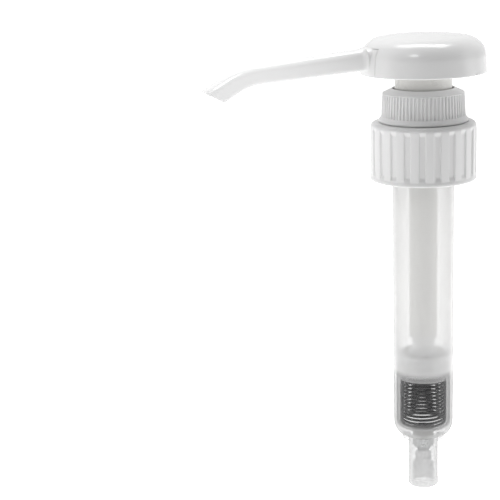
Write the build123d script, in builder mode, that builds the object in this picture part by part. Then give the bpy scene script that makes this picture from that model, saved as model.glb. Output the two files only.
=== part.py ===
from build123d import *
import os
from math import asin, atan2, cos, degrees, radians, sin, tan

# Condiment pump dispenser: a 30 cc lock-down pump for jars and jugs with a 38-400 screw neck.
# Millimetres. +Z runs up the pump axis and the spout points along -X. The origin is the centre
# of the gasket's lower face, where the pump rests on the rim of the neck it is screwed to.
# The pump is shown as it is shipped: plunger down and locked, spring compressed.

os.makedirs("parts", exist_ok=True)

# ---- driving dimensions -------------------------------------------------------------------

running_gap = 0.06              # radial clearance where one piece runs in another
moulding_gap = 0.2              # gap between neighbouring mouldings that do not bear on each other

# closure, 38-400 finish
closure_radius = 21.5
closure_rim_radius = 21.7
closure_rim_z = -17.8
closure_top_z = 5.7
closure_plate = 2.1
closure_hole_radius = 14.4
closure_edge_round = 1.9
closure_thread_root = 19.1
closure_thread_crest = 17.9
closure_thread_pitch = 4.23
closure_thread_turns = 1.6
closure_thread_start_z = -12.6
closure_thread_root_width = 2.3
closure_rim_step = 0.7
closure_rim_chamfer = 0.4
grip_count = 22
grip_depth = 0.65
grip_floor_half_width = 1.0
grip_mouth_half_width = 1.75
grip_bottom_z = -16.0
grip_top_z = 4.4
grip_phase = -110.8             # angle of one groove's middle, in degrees

# gasket
gasket_inner = 13.0
gasket_outer = 17.3
gasket_thickness = 1.5
gasket_edge = 0.2

# housing: pump cylinder, flange, neck, valve chamber and dip tube socket
bore_radius = 11.35
tube_radius_top = 12.68
tube_radius_bottom = 12.53
flange_radius = 17.5
flange_thickness = 2.0
neck_radius = 13.8
neck_top_z = 9.0
snap_bead = 0.3
snap_bead_drop = 1.0            # from the neck's top down to the bead
snap_bead_height = 0.6
shoulder_start_z = -122.8
shoulder_end_z = -128.7
shoulder_inner_radius = 9.0
cylinder_floor_z = -125.0
floor_corner = 1.3
spring_ledge_inner = 8.0
chamber_radius = 4.4
chamber_top_z = -128.6
seat_top_z = -134.55
seat_depth = 2.4
throat_radius = 2.2
throat_length = 1.2
suction_radius = 3.4
tube_stop_z = -143.0
socket_radius = 6.25
socket_end_z = -152.3
dip_tube_bore = 4.4
lead_in = 0.7
fin_radius = 8.9
fin_thickness = 1.2
fin_sink = 0.4                  # how far a fin runs into the socket and the shoulder
fin_edge_z = -131.8
fin_foot_z = -133.4
fin_angles = (-110.0, -20.0, 70.0, 160.0)
vent_radius = 0.9
vent_z = -6.5

# collar: finely ribbed snap ring that carries the female lock thread
collar_flange_radius = 18.1
collar_bottom_z = 5.9
collar_flange_edge = 0.9
collar_edge_round = 0.3
collar_rib_bottom_z = 8.1
collar_rib_top_z = 17.6
collar_radius_bottom = 17.1
collar_radius_top = 16.6
collar_top_z = 19.5
collar_mouth_radius = 12.3
collar_bore = 12.7
collar_floor_bottom_z = 9.9
collar_floor_top_z = 11.4
collar_stem_hole = 6.4
collar_socket = 14.0
rib_count = 68
rib_depth = 0.5
rib_width = 0.85
rib_root = 0.3                  # how far a rib runs into the wall
lock_pitch = 4.5
lock_turns = 1.05
lock_root_width = 1.7
thread_crest_width = 0.9
thread_sink = 0.25              # how far a ridge runs into its wall
lock_crest_female = 12.27
lock_crest_male = 12.1

# plunger stem, guide and wiper
stem_outer = 5.8
stem_inner = 4.3
stem_bottom_z = -84.2
stem_top_z = 30.5
guide_outer = 11.1
guide_skirt_inner = 9.9
guide_bottom_z = -17.5
guide_flange_radius = 13.5
guide_pocket_radius = 8.7
guide_pocket_z = 4.0
guide_web = 1.5
guide_bearing_outer = 7.3
guide_bearing_bottom_z = -8.0
wiper_outer = 8.6
wiper_top_z = 9.5
wiper_base = 1.3

# lock sleeve between head and collar
sleeve_outer = 11.6
sleeve_inner = 10.2
sleeve_bottom_z = 12.0
sleeve_top_z = 26.2
sleeve_plate = 1.6
sleeve_lip_radius = 12.1
sleeve_grip_outer = 7.6
sleeve_grip_z = 19.5

# head: dome cap and spout body
dome_rim_radius = 25.65
dome_wall_top_radius = 24.8
dome_rim_z = 25.5
dome_apex_z = 41.2
dome_crown_radius = 120.0
dome_shoulder = 8.6
dome_wall = 1.9
rim_round = 0.35
post_circle = 14.5
post_radius = 1.9
post_angles = (-65.0, 0.0, 65.0)
pry_notch_angle = -56.0
pry_notch_width = 1.5
pry_notch_height = 0.8
slot_half_angle = 22.6
slot_side_gap = 0.45
slot_top_z = 36.4
disc_radius = 23.2
disc_bottom_z = 26.2
disc_thickness = 1.6
hub_radius = 7.9
hub_top_z = 38.0
hub_chamber_top_z = 36.7
ball_stop_radius = 1.2

# spout: nearly level run, a bend, then a run down to an oblique mouth
spout_slope = 4.6               # degrees below level, from the hub to the bend
spout_root_x = 26.0
spout_root_z = 31.95
spout_bend_x = 68.8
spout_bend_radius = 26.0
spout_bend_turn = 27.0          # degrees
spout_end_run = 14.0
spout_bore = 2.7
spout_flare = (12.4, 8.6)       # width and height where the spout leaves the panel
spout_root = (8.7, 8.4)
spout_before_bend = (7.9, 7.5)
spout_after_bend = (7.8, 8.4)
spout_end = (7.7, 8.3)
spout_flare_x = 23.5
spout_flare_end_x = 28.5
upper_corner = 0.40             # corner rounding as a share of the section's height
lower_corner = 0.18
mouth_angle = 61.5              # mouth normal, in degrees below level
mouth_x = 86.95
mouth_z = 20.75

# valves
inlet_ball_radius = 3.2
inlet_ball_lift = 2.2           # free travel between seat and cage lugs
outlet_ball_radius = 2.5
outlet_throat = 1.8
outlet_chamber = 3.2
outlet_seat_z = 21.5
outlet_throat_length = 2.0
outlet_seat_depth = 1.5
cage_outer = 4.35
cage_inner = 3.5
cage_bottom_z = -131.2
cage_top_z = -126.6
cage_lug_inner = 1.9
cage_lug_height = 1.5
cage_lug_width = 1.5

# piston and its carrier
carrier_bore = 2.6
carrier_plug_length = 8.0
carrier_ring_height = 1.7
carrier_hub = 4.7
carrier_shoulder = 6.3
carrier_shoulder_z = -93.2
carrier_shoulder_height = 0.9
carrier_spigot = 4.0
carrier_snap_z = -99.1
carrier_snap_height = 1.2
carrier_snap_radius = 4.9
piston_top_z = -93.3
piston_bottom_z = -103.4
piston_hub_outer = 6.4
piston_web_top_z = -95.6
piston_web_bottom_z = -97.2
piston_body = 10.4
piston_cup_inner = 9.4
piston_skirt_outer = 11.0
piston_skirt_inner = 10.25
piston_lip = bore_radius - running_gap
spring_wire = 0.525             # wire radius
spring_mean = 9.3               # coil radius at the middle of the wire
spring_turns = 17
spring_end_gap = 0.15


# ---- profiles and features used more than once -------------------------------------------


def half_profile(*points):
    """Face in the XZ plane through (radius, height) points, to be spun round the pump axis."""
    with BuildSketch(Plane.XZ) as profile:
        with BuildLine():
            Polyline(*points, close=True)
        make_face()
    return profile.sketch


def radial_plane(angle):
    """Upright plane through the pump axis, with its x axis pointing out at an angle in degrees."""
    turn = radians(angle)
    return Plane(origin=(0, 0, 0), x_dir=(cos(turn), sin(turn), 0), z_dir=(sin(turn), -cos(turn), 0))


def dome_profile(inset, angle=0.0, rounded_rim=False):
    """Half section of the dome, drawn in by inset, in the plane at an angle round the axis."""
    crown = dome_crown_radius - inset
    apex = dome_apex_z - inset
    spread = degrees(asin((dome_wall_top_radius - inset) / crown))
    with BuildSketch(radial_plane(angle)) as profile:
        with BuildLine():
            crest = CenterArc((0, apex - crown), crown, 90 - spread, spread)
            Polyline(crest @ 1, (0, dome_rim_z), (dome_rim_radius - inset, dome_rim_z), crest @ 0)
        make_face()
        fillet(profile.vertices().sort_by(Axis.X)[-2], dome_shoulder - inset)
        if rounded_rim:
            fillet(profile.vertices().sort_by(Axis.X)[-1], rim_round)
    return profile.sketch


def thread_ridge(radius, depth, pitch, turns, start_z, root_width, angle=0.0):
    """Helical ridge on a cylinder of the given radius; a negative depth points inwards."""
    sink = -thread_sink if depth > 0 else thread_sink
    with BuildPart() as ridge:
        with BuildLine() as path:
            Helix(pitch=pitch, height=pitch * turns, radius=radius, center=(0, 0, start_z))
        with BuildSketch(Plane(origin=path.line @ 0, x_dir=(1, 0, 0), z_dir=path.line % 0)):
            with BuildLine():
                Polyline(
                    (sink, -root_width / 2),
                    (depth, -thread_crest_width / 2),
                    (depth, thread_crest_width / 2),
                    (sink, root_width / 2),
                    close=True,
                )
            make_face()
        sweep(path=path.line, is_frenet=True)
    return ridge.part.rotate(Axis.Z, angle)


def ball_height(seat_z, seat_low, seat_high, depth, radius):
    """Height of a ball's centre as it sits in a cone that widens from seat_low to seat_high."""
    half_angle = atan2(seat_high - seat_low, depth)
    contact = radius * cos(half_angle)
    return seat_z + (contact - seat_low) / tan(half_angle) + radius * sin(half_angle) + 0.02


def spout_section(run, share, size):
    """Cross-section of the spout square to its run: round top, flat sides, small lower corners."""
    station = Plane(origin=run @ share, x_dir=(0, -1, 0), z_dir=run % share)
    width, height = size
    with BuildSketch(station) as section:
        Rectangle(width, height)
        fillet(section.vertices().sort_by(Axis.Y)[-2:], upper_corner * height)
        fillet(section.vertices().sort_by(Axis.Y)[:2], lower_corner * height)
    return section.sketch


# ---- housing ------------------------------------------------------------------------------

seat_bottom_z = seat_top_z - seat_depth
with BuildPart() as housing:
    with BuildSketch(Plane.XZ):
        with BuildLine():
            Polyline(
                (bore_radius, neck_top_z),
                (neck_radius - snap_bead, neck_top_z),
                (neck_radius + snap_bead, neck_top_z - snap_bead_drop),
                (neck_radius, neck_top_z - snap_bead_drop - snap_bead_height),
                (neck_radius, gasket_thickness + flange_thickness),
                (flange_radius, gasket_thickness + flange_thickness),
                (flange_radius, gasket_thickness),
                (tube_radius_top, gasket_thickness),
                (tube_radius_bottom, shoulder_start_z),
            )
            EllipticalCenterArc(
                (shoulder_inner_radius, shoulder_start_z),
                tube_radius_bottom - shoulder_inner_radius,
                shoulder_start_z - shoulder_end_z,
                start_angle=270,
                arc_size=90,
            )
            Polyline(
                (shoulder_inner_radius, shoulder_end_z),
                (socket_radius, shoulder_end_z),
                (socket_radius, socket_end_z),
                (dip_tube_bore + lead_in, socket_end_z),
                (dip_tube_bore, socket_end_z + lead_in),
                (dip_tube_bore, tube_stop_z),
                (suction_radius, tube_stop_z),
                (suction_radius, seat_bottom_z - throat_length),
                (throat_radius, seat_bottom_z - throat_length),
                (throat_radius, seat_bottom_z),
                (chamber_radius, seat_top_z),
                (chamber_radius, chamber_top_z),
                (spring_ledge_inner, cylinder_floor_z),
                (bore_radius - floor_corner, cylinder_floor_z),
            )
            RadiusArc(
                (bore_radius - floor_corner, cylinder_floor_z),
                (bore_radius, cylinder_floor_z + floor_corner),
                -floor_corner,
            )
            Line((bore_radius, cylinder_floor_z + floor_corner), (bore_radius, neck_top_z))
        make_face()
    revolve(axis=Axis.Z)
    for fin_angle in fin_angles:
        with BuildSketch(radial_plane(fin_angle)):
            with BuildLine():
                Polyline(
                    (socket_radius - fin_sink, shoulder_end_z + fin_sink),
                    (fin_radius, shoulder_end_z + fin_sink),
                    (fin_radius, fin_edge_z),
                    (socket_radius - fin_sink, fin_foot_z),
                    close=True,
                )
            make_face()
        extrude(amount=fin_thickness / 2, both=True)
    with BuildSketch(Plane.XZ.offset(-bore_radius + 1.0)):
        with Locations((0, vent_z)):
            Circle(vent_radius)
    extrude(amount=-3.0, mode=Mode.SUBTRACT)
housing.part.label = "housing"
export_step(housing.part, "parts/housing.step")

# ---- gasket -------------------------------------------------------------------------------

with BuildPart() as gasket:
    with BuildSketch():
        Circle(gasket_outer)
        Circle(gasket_inner, mode=Mode.SUBTRACT)
    extrude(amount=gasket_thickness)
    chamfer(gasket.edges().group_by(Axis.Z)[-1], gasket_edge)
gasket.part.label = "gasket"
export_step(gasket.part, "parts/gasket.step")

# ---- closure ------------------------------------------------------------------------------

with BuildPart() as closure:
    with BuildSketch(Plane.XZ):
        with BuildLine():
            Polyline(
                (closure_hole_radius, closure_top_z),
                (closure_radius - closure_edge_round, closure_top_z),
            )
            RadiusArc(
                (closure_radius - closure_edge_round, closure_top_z),
                (closure_radius, closure_top_z - closure_edge_round),
                closure_edge_round,
            )
            Polyline(
                (closure_radius, closure_top_z - closure_edge_round),
                (closure_radius, grip_bottom_z),
                (closure_rim_radius, grip_bottom_z - closure_rim_step),
                (closure_rim_radius, closure_rim_z + closure_rim_chamfer),
                (closure_rim_radius - closure_rim_chamfer, closure_rim_z),
                (closure_thread_root + 0.5, closure_rim_z),
                (closure_thread_root, closure_rim_z + 0.8),
                (closure_thread_root, closure_top_z - closure_plate),
                (closure_hole_radius, closure_top_z - closure_plate),
                (closure_hole_radius, closure_top_z),
            )
        make_face()
    revolve(axis=Axis.Z)
    with BuildSketch(Plane.XY.offset(grip_bottom_z)):
        with BuildLine():
            Polyline(
                (closure_radius - grip_depth, -grip_floor_half_width),
                (closure_radius + 0.3, -grip_mouth_half_width),
                (closure_radius + 0.3, grip_mouth_half_width),
                (closure_radius - grip_depth, grip_floor_half_width),
                close=True,
            )
        make_face()
    groove = extrude(amount=grip_top_z - grip_bottom_z, mode=Mode.PRIVATE)
    with PolarLocations(0, grip_count, start_angle=grip_phase):
        add(groove, mode=Mode.SUBTRACT)
    add(thread_ridge(closure_thread_root, closure_thread_crest - closure_thread_root,
                     closure_thread_pitch, closure_thread_turns, closure_thread_start_z,
                     closure_thread_root_width))
closure.part.label = "closure"
export_step(closure.part, "parts/closure.step")

# ---- collar -------------------------------------------------------------------------------

with BuildPart() as collar:
    with BuildSketch(Plane.XZ):
        with BuildLine():
            Polyline(
                (collar_socket, collar_bottom_z),
                (collar_flange_radius, collar_bottom_z),
                (collar_flange_radius, collar_bottom_z + collar_flange_edge),
                (collar_radius_bottom - 0.1, collar_rib_bottom_z),
                (collar_radius_bottom - rib_depth, collar_rib_bottom_z),
                (collar_radius_top - rib_depth, collar_rib_top_z - 0.4),
                (collar_radius_top - 0.1, collar_rib_top_z - 0.4),
                (collar_radius_top - 0.6, collar_rib_top_z + 0.1),
                (collar_mouth_radius + collar_edge_round, collar_top_z),
                (collar_mouth_radius, collar_top_z - collar_edge_round),
                (collar_mouth_radius, collar_top_z - 0.9),
                (collar_bore, collar_top_z - 1.3),
                (collar_bore, collar_floor_top_z),
                (collar_stem_hole, collar_floor_top_z),
                (collar_stem_hole, collar_floor_bottom_z),
                (collar_socket, collar_floor_bottom_z),
                (collar_socket, neck_top_z - 0.6),
                (neck_radius + snap_bead + 0.15, neck_top_z - 0.9),
                (neck_radius + snap_bead + 0.15, neck_top_z - 1.4),
                (collar_socket, neck_top_z - 1.8),
                close=True,
            )
        make_face()
    revolve(axis=Axis.Z)
    with BuildSketch(Plane.XZ):
        with BuildLine():
            Polyline(
                (collar_radius_bottom - rib_depth - rib_root, collar_rib_bottom_z - 0.1),
                (collar_radius_bottom, collar_rib_bottom_z - 0.1),
                (collar_radius_top, collar_rib_top_z - 0.3),
                (collar_radius_top - rib_depth - rib_root, collar_rib_top_z - 0.3),
                close=True,
            )
        make_face()
    ribs = extrude(amount=rib_width / 2, both=True, mode=Mode.PRIVATE)
    with PolarLocations(0, rib_count, start_angle=-110.0 + 180.0 / rib_count):
        add(ribs)
    add(thread_ridge(collar_bore, lock_crest_female - collar_bore, lock_pitch, lock_turns,
                     collar_floor_top_z + 1.2, lock_root_width, angle=90))
collar.part.label = "collar"
export_step(collar.part, "parts/collar.step")

# ---- stem guide and wiper -----------------------------------------------------------------

with BuildPart() as stem_guide:
    revolve(
        half_profile(
            (stem_outer + running_gap, guide_bearing_bottom_z),
            (stem_outer + running_gap, guide_pocket_z),
            (guide_pocket_radius, guide_pocket_z),
            (guide_pocket_radius, collar_floor_bottom_z - 0.05),
            (guide_flange_radius, collar_floor_bottom_z - 0.05),
            (guide_flange_radius, neck_top_z + 0.05),
            (guide_outer, neck_top_z + 0.05),
            (guide_outer, guide_bottom_z),
            (guide_skirt_inner, guide_bottom_z),
            (guide_skirt_inner, guide_pocket_z - guide_web),
            (guide_bearing_outer, guide_pocket_z - guide_web),
            (guide_bearing_outer, guide_bearing_bottom_z),
        ),
        axis=Axis.Z,
    )
stem_guide.part.label = "stem_guide"
export_step(stem_guide.part, "parts/stem_guide.step")

with BuildPart() as stem_wiper:
    revolve(
        half_profile(
            (stem_outer + 0.5, guide_pocket_z + 0.1),
            (wiper_outer, guide_pocket_z + 0.1),
            (wiper_outer, wiper_top_z),
            (wiper_outer - 0.9, wiper_top_z),
            (wiper_outer - 1.3, guide_pocket_z + wiper_base),
            (stem_outer + 1.1, guide_pocket_z + wiper_base),
            (stem_outer + 0.7, wiper_top_z - 0.8),
            (stem_outer + running_gap, wiper_top_z - 0.4),
            (stem_outer + running_gap, wiper_top_z - 0.9),
            (stem_outer + 0.5, wiper_top_z - 1.9),
        ),
        axis=Axis.Z,
    )
stem_wiper.part.label = "stem_wiper"
export_step(stem_wiper.part, "parts/stem_wiper.step")

# ---- stem and lock sleeve -----------------------------------------------------------------

with BuildPart() as stem:
    with BuildSketch(Plane.XY.offset(stem_bottom_z)):
        Circle(stem_outer)
        Circle(stem_inner, mode=Mode.SUBTRACT)
    extrude(amount=stem_top_z - stem_bottom_z)
stem.part.label = "stem"
export_step(stem.part, "parts/stem.step")

with BuildPart() as lock_sleeve:
    revolve(
        half_profile(
            (stem_outer + 0.05, sleeve_grip_z),
            (stem_outer + 0.05, sleeve_top_z),
            (sleeve_lip_radius, sleeve_top_z),
            (sleeve_lip_radius, sleeve_top_z - 1.3),
            (sleeve_outer, sleeve_top_z - 1.7),
            (sleeve_outer, sleeve_bottom_z + 0.3),
            (sleeve_outer - 0.3, sleeve_bottom_z),
            (sleeve_inner, sleeve_bottom_z),
            (sleeve_inner, sleeve_top_z - sleeve_plate),
            (sleeve_grip_outer, sleeve_top_z - sleeve_plate),
            (sleeve_grip_outer, sleeve_grip_z),
        ),
        axis=Axis.Z,
    )
    add(thread_ridge(sleeve_outer, lock_crest_male - sleeve_outer, lock_pitch, lock_turns,
                     sleeve_bottom_z + 1.3, lock_root_width, angle=-90))
lock_sleeve.part.label = "lock_sleeve"
export_step(lock_sleeve.part, "parts/lock_sleeve.step")

# ---- head cap -----------------------------------------------------------------------------

with BuildPart() as head_cap:
    revolve(dome_profile(0.0, 180.0, rounded_rim=True), axis=Axis.Z)
    revolve(dome_profile(dome_wall, 180.0), axis=Axis.Z, mode=Mode.SUBTRACT)
    slot_start = 180.0 - slot_half_angle
    with BuildSketch(radial_plane(slot_start)):
        with BuildLine():
            Polyline(
                (disc_radius - 3.0, dome_rim_z - 1.0),
                (dome_rim_radius + 2.0, dome_rim_z - 1.0),
                (dome_rim_radius + 2.0, slot_top_z + moulding_gap),
                (disc_radius - 3.0, slot_top_z + moulding_gap),
                close=True,
            )
        make_face()
    revolve(axis=Axis.Z, revolution_arc=2 * slot_half_angle, mode=Mode.SUBTRACT)
    with BuildSketch(Plane.XY.offset(disc_bottom_z + disc_thickness + moulding_gap)):
        for post_angle in post_angles:
            with PolarLocations(post_circle, 1, start_angle=post_angle):
                Circle(post_radius)
    extrude(amount=dome_apex_z - dome_wall - disc_bottom_z - disc_thickness)
    with BuildSketch(Plane.XY.offset(dome_rim_z)):
        with PolarLocations(dome_rim_radius, 1, start_angle=pry_notch_angle):
            Rectangle(2.0, pry_notch_width)
    extrude(amount=pry_notch_height, mode=Mode.SUBTRACT)
head_cap.part.label = "head_cap"
export_step(head_cap.part, "parts/head_cap.step")

# ---- spout body ---------------------------------------------------------------------------

panel_half_angle = slot_half_angle - degrees(asin(slot_side_gap / dome_rim_radius))
hub_z = spout_root_z + spout_root_x * tan(radians(spout_slope))
bend_z = spout_root_z - (spout_bend_x - spout_root_x) * tan(radians(spout_slope))
with BuildLine(Plane.XZ) as spout_path:
    level_run = Line((0, hub_z), (-spout_bend_x, bend_z))
    bend = JernArc(level_run @ 1, level_run % 1, spout_bend_radius, spout_bend_turn)
    end_run = Line(bend @ 1, (bend @ 1) + (bend % 1) * spout_end_run)
route = spout_path.wire()

with BuildPart() as spout_body:
    # curved panel that closes the slot in the dome cap
    revolve(
        dome_profile(0.05, 180.0 - panel_half_angle, rounded_rim=True),
        axis=Axis.Z,
        revolution_arc=2 * panel_half_angle,
    )
    revolve(dome_profile(dome_wall), axis=Axis.Z, mode=Mode.SUBTRACT)
    split(bisect_by=Plane.XY.offset(slot_top_z), keep=Keep.BOTTOM)
    # disc under the dome, with a web out to the panel
    with BuildSketch(Plane.XY.offset(disc_bottom_z)):
        Circle(disc_radius)
    extrude(amount=disc_thickness)
    with BuildSketch(radial_plane(180.0 - panel_half_angle)):
        with BuildLine():
            Polyline(
                (disc_radius - 1.0, disc_bottom_z),
                (dome_rim_radius - 1.0, disc_bottom_z),
                (dome_rim_radius - 1.0, disc_bottom_z + disc_thickness),
                (disc_radius - 1.0, disc_bottom_z + disc_thickness),
                close=True,
            )
        make_face()
    revolve(axis=Axis.Z, revolution_arc=2 * panel_half_angle)
    # hub over the stem
    with BuildSketch(Plane.XY.offset(disc_bottom_z)):
        Circle(hub_radius)
    extrude(amount=hub_top_z - disc_bottom_z)
    # duct and spout, lofted along the route
    flare_start = spout_section(level_run, spout_flare_x / spout_bend_x, spout_flare)
    flare_end = spout_section(level_run, spout_flare_end_x / spout_bend_x, spout_root)
    hub_section = spout_section(level_run, 0.0, spout_root)
    bend_start = spout_section(bend, 0.0, spout_before_bend)
    bend_end = spout_section(bend, 1.0, spout_after_bend)
    spout_last = spout_section(end_run, 1.0, spout_end)
    loft([hub_section, flare_end])
    loft([flare_start, flare_end])
    loft([flare_end, bend_start])
    sweep([bend_start, bend_end], path=bend, multisection=True)
    loft([bend_end, spout_last])
    # mouth, cut back obliquely
    mouth_normal = Vector(-cos(radians(mouth_angle)), 0, -sin(radians(mouth_angle)))
    split(bisect_by=Plane(origin=(-mouth_x, 0, mouth_z), z_dir=mouth_normal), keep=Keep.BOTTOM)
    # flow path: bore of the spout, chamber over the stem, socket for the stem
    with BuildSketch(Plane(origin=route @ 0, x_dir=(0, -1, 0), z_dir=route % 0)):
        Circle(spout_bore)
    sweep(path=route, mode=Mode.SUBTRACT)
    with BuildSketch(Plane.XY.offset(stem_top_z)):
        Circle(stem_inner)
        Circle(ball_stop_radius, mode=Mode.SUBTRACT)
    extrude(amount=hub_chamber_top_z - stem_top_z, mode=Mode.SUBTRACT)
    with BuildSketch(Plane.XY.offset(disc_bottom_z)):
        Circle(stem_outer + 0.05)
    extrude(amount=stem_top_z - disc_bottom_z, mode=Mode.SUBTRACT)
spout_body.part.label = "spout_body"
export_step(spout_body.part, "parts/spout_body.step")

# ---- outlet valve -------------------------------------------------------------------------

with BuildPart() as outlet_seat:
    revolve(
        half_profile(
            (outlet_throat, outlet_seat_z),
            (stem_inner - 0.05, outlet_seat_z),
            (stem_inner - 0.05, stem_top_z - 0.05),
            (outlet_chamber, stem_top_z - 0.05),
            (outlet_chamber, outlet_seat_z + outlet_throat_length + outlet_seat_depth),
            (outlet_throat, outlet_seat_z + outlet_throat_length),
        ),
        axis=Axis.Z,
    )
outlet_seat.part.label = "outlet_seat"
export_step(outlet_seat.part, "parts/outlet_seat.step")

outlet_ball_z = ball_height(outlet_seat_z + outlet_throat_length, outlet_throat, outlet_chamber,
                            outlet_seat_depth, outlet_ball_radius)
with BuildPart() as outlet_ball:
    with Locations((0, 0, outlet_ball_z)):
        Sphere(outlet_ball_radius)
outlet_ball.part.label = "outlet_ball"
export_step(outlet_ball.part, "parts/outlet_ball.step")

# ---- inlet valve --------------------------------------------------------------------------

inlet_ball_z = ball_height(seat_bottom_z, throat_radius, chamber_radius, seat_depth,
                           inlet_ball_radius)
with BuildPart() as inlet_ball:
    with Locations((0, 0, inlet_ball_z)):
        Sphere(inlet_ball_radius)
inlet_ball.part.label = "inlet_ball"
export_step(inlet_ball.part, "parts/inlet_ball.step")

cage_lug_z = inlet_ball_z + inlet_ball_radius + inlet_ball_lift + running_gap
with BuildPart() as ball_cage:
    with BuildSketch(Plane.XY.offset(cage_bottom_z)):
        Circle(cage_outer)
        Circle(cage_inner, mode=Mode.SUBTRACT)
    extrude(amount=cage_top_z - cage_bottom_z)
    with BuildSketch(Plane.XY.offset(cage_lug_z)):
        with PolarLocations((cage_lug_inner + cage_inner + 0.3) / 2, 4, start_angle=25.0):
            Rectangle(cage_inner + 0.3 - cage_lug_inner, cage_lug_width)
    extrude(amount=cage_lug_height)
ball_cage.part.label = "ball_cage"
export_step(ball_cage.part, "parts/ball_cage.step")

# ---- piston, carrier and spring -----------------------------------------------------------

with BuildPart() as piston_carrier:
    revolve(
        half_profile(
            (carrier_bore, stem_bottom_z + carrier_plug_length),
            (stem_inner - 0.5, stem_bottom_z + carrier_plug_length),
            (stem_inner - 0.05, stem_bottom_z + carrier_plug_length - 1.0),
            (stem_inner - 0.05, stem_bottom_z),
            (stem_outer, stem_bottom_z),
            (stem_outer, stem_bottom_z - carrier_ring_height),
            (carrier_hub, stem_bottom_z - carrier_ring_height),
            (carrier_hub, carrier_shoulder_z + carrier_shoulder_height),
            (carrier_shoulder, carrier_shoulder_z + carrier_shoulder_height),
            (carrier_shoulder, carrier_shoulder_z),
            (carrier_spigot, carrier_shoulder_z),
            (carrier_spigot, carrier_snap_z),
            (carrier_snap_radius, carrier_snap_z),
            (carrier_spigot - 0.3, carrier_snap_z - carrier_snap_height),
            (carrier_bore, carrier_snap_z - carrier_snap_height),
        ),
        axis=Axis.Z,
    )
piston_carrier.part.label = "piston_carrier"
export_step(piston_carrier.part, "parts/piston_carrier.step")

with BuildPart() as piston:
    revolve(
        half_profile(
            (carrier_spigot + running_gap, piston_top_z),
            (piston_hub_outer, piston_top_z),
            (piston_hub_outer, piston_web_top_z),
            (piston_cup_inner, piston_web_top_z),
            (piston_cup_inner, piston_top_z + 0.1),
            (piston_lip, piston_top_z + 0.1),
            (piston_lip, piston_top_z - 0.7),
            (piston_body, piston_top_z - 1.7),
            (piston_body, piston_web_bottom_z),
            (piston_skirt_outer, piston_web_bottom_z - 0.5),
            (piston_skirt_outer, piston_bottom_z + 1.8),
            (piston_lip, piston_bottom_z + 0.8),
            (piston_lip, piston_bottom_z),
            (piston_lip - 0.5, piston_bottom_z),
            (piston_skirt_inner, piston_bottom_z + 1.4),
            (piston_skirt_inner, piston_web_bottom_z),
            (piston_hub_outer, piston_web_bottom_z),
            (piston_hub_outer, carrier_snap_z + 0.1),
            (carrier_spigot + running_gap, carrier_snap_z + 0.1),
        ),
        axis=Axis.Z,
    )
piston.part.label = "piston"
export_step(piston.part, "parts/piston.step")

spring_low_z = cylinder_floor_z + spring_end_gap + spring_wire
spring_high_z = piston_web_bottom_z - spring_end_gap - spring_wire
spring_pitch = (spring_high_z - spring_low_z) / spring_turns
with BuildPart() as spring:
    with BuildLine() as coil:
        Helix(
            pitch=spring_pitch,
            height=spring_high_z - spring_low_z,
            radius=spring_mean,
            center=(0, 0, spring_low_z),
        )
    with BuildSketch(Plane(origin=coil.line @ 0, z_dir=coil.line % 0)):
        Circle(spring_wire)
    sweep(path=coil.line, is_frenet=True)
spring.part.label = "spring"
export_step(spring.part, "parts/spring.step")
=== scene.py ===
from math import asin, atan2, ceil, cos, degrees, pi, radians, sin, sqrt, tan

import bmesh
import bpy
from mathutils import Matrix, Vector


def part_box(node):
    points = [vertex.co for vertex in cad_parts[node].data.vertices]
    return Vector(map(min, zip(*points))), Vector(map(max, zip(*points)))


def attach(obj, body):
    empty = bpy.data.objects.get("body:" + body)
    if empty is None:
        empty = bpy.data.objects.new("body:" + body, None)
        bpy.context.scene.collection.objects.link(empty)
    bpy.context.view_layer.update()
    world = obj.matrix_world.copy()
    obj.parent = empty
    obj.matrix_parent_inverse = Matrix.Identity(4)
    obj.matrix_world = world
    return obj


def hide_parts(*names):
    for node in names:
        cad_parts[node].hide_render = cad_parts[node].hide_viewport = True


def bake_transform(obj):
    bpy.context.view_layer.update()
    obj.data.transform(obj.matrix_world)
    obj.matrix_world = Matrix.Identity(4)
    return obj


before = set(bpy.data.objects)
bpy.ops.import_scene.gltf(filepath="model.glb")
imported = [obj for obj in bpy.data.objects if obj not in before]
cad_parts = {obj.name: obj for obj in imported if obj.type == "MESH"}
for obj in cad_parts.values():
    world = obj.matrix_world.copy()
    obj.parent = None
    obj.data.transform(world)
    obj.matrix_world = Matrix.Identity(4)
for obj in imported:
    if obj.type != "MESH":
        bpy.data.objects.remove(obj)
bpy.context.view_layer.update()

# A 30 cc lock-down condiment pump with a 38-400 closure, standing locked down. Shapes are drawn in
# millimetres about the pump axis, with height 0 on the sealing face; lights and stage are in metres.
mm = 0.001


# ---- camera and stage ---------------------------------------------------------------------

camera_angle = radians(-110.0)      # round the pump axis, from +X
camera_distance = 563.0 * mm
camera_height = 95.0 * mm           # above the sealing face
camera_pitch = radians(14.3)
focal_pixels = 1386.0
object_offset_pixels = 173.3        # the pump stands right of the picture's middle
picture_pixels = 500.0
sensor = 36.0
floor_reach = 8.0                   # metres either side of the pump
floor_glow_front, floor_glow_behind = 0.35, 0.95
floor_fade = 0.6                    # the glow rises over this distance in front of the pump
room_glow_front, room_glow_behind = 0.08, 1.0
pump_middle = Vector((0, 0, -0.04))
spout_middle = Vector((-0.07, 0, 0.02))


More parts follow.
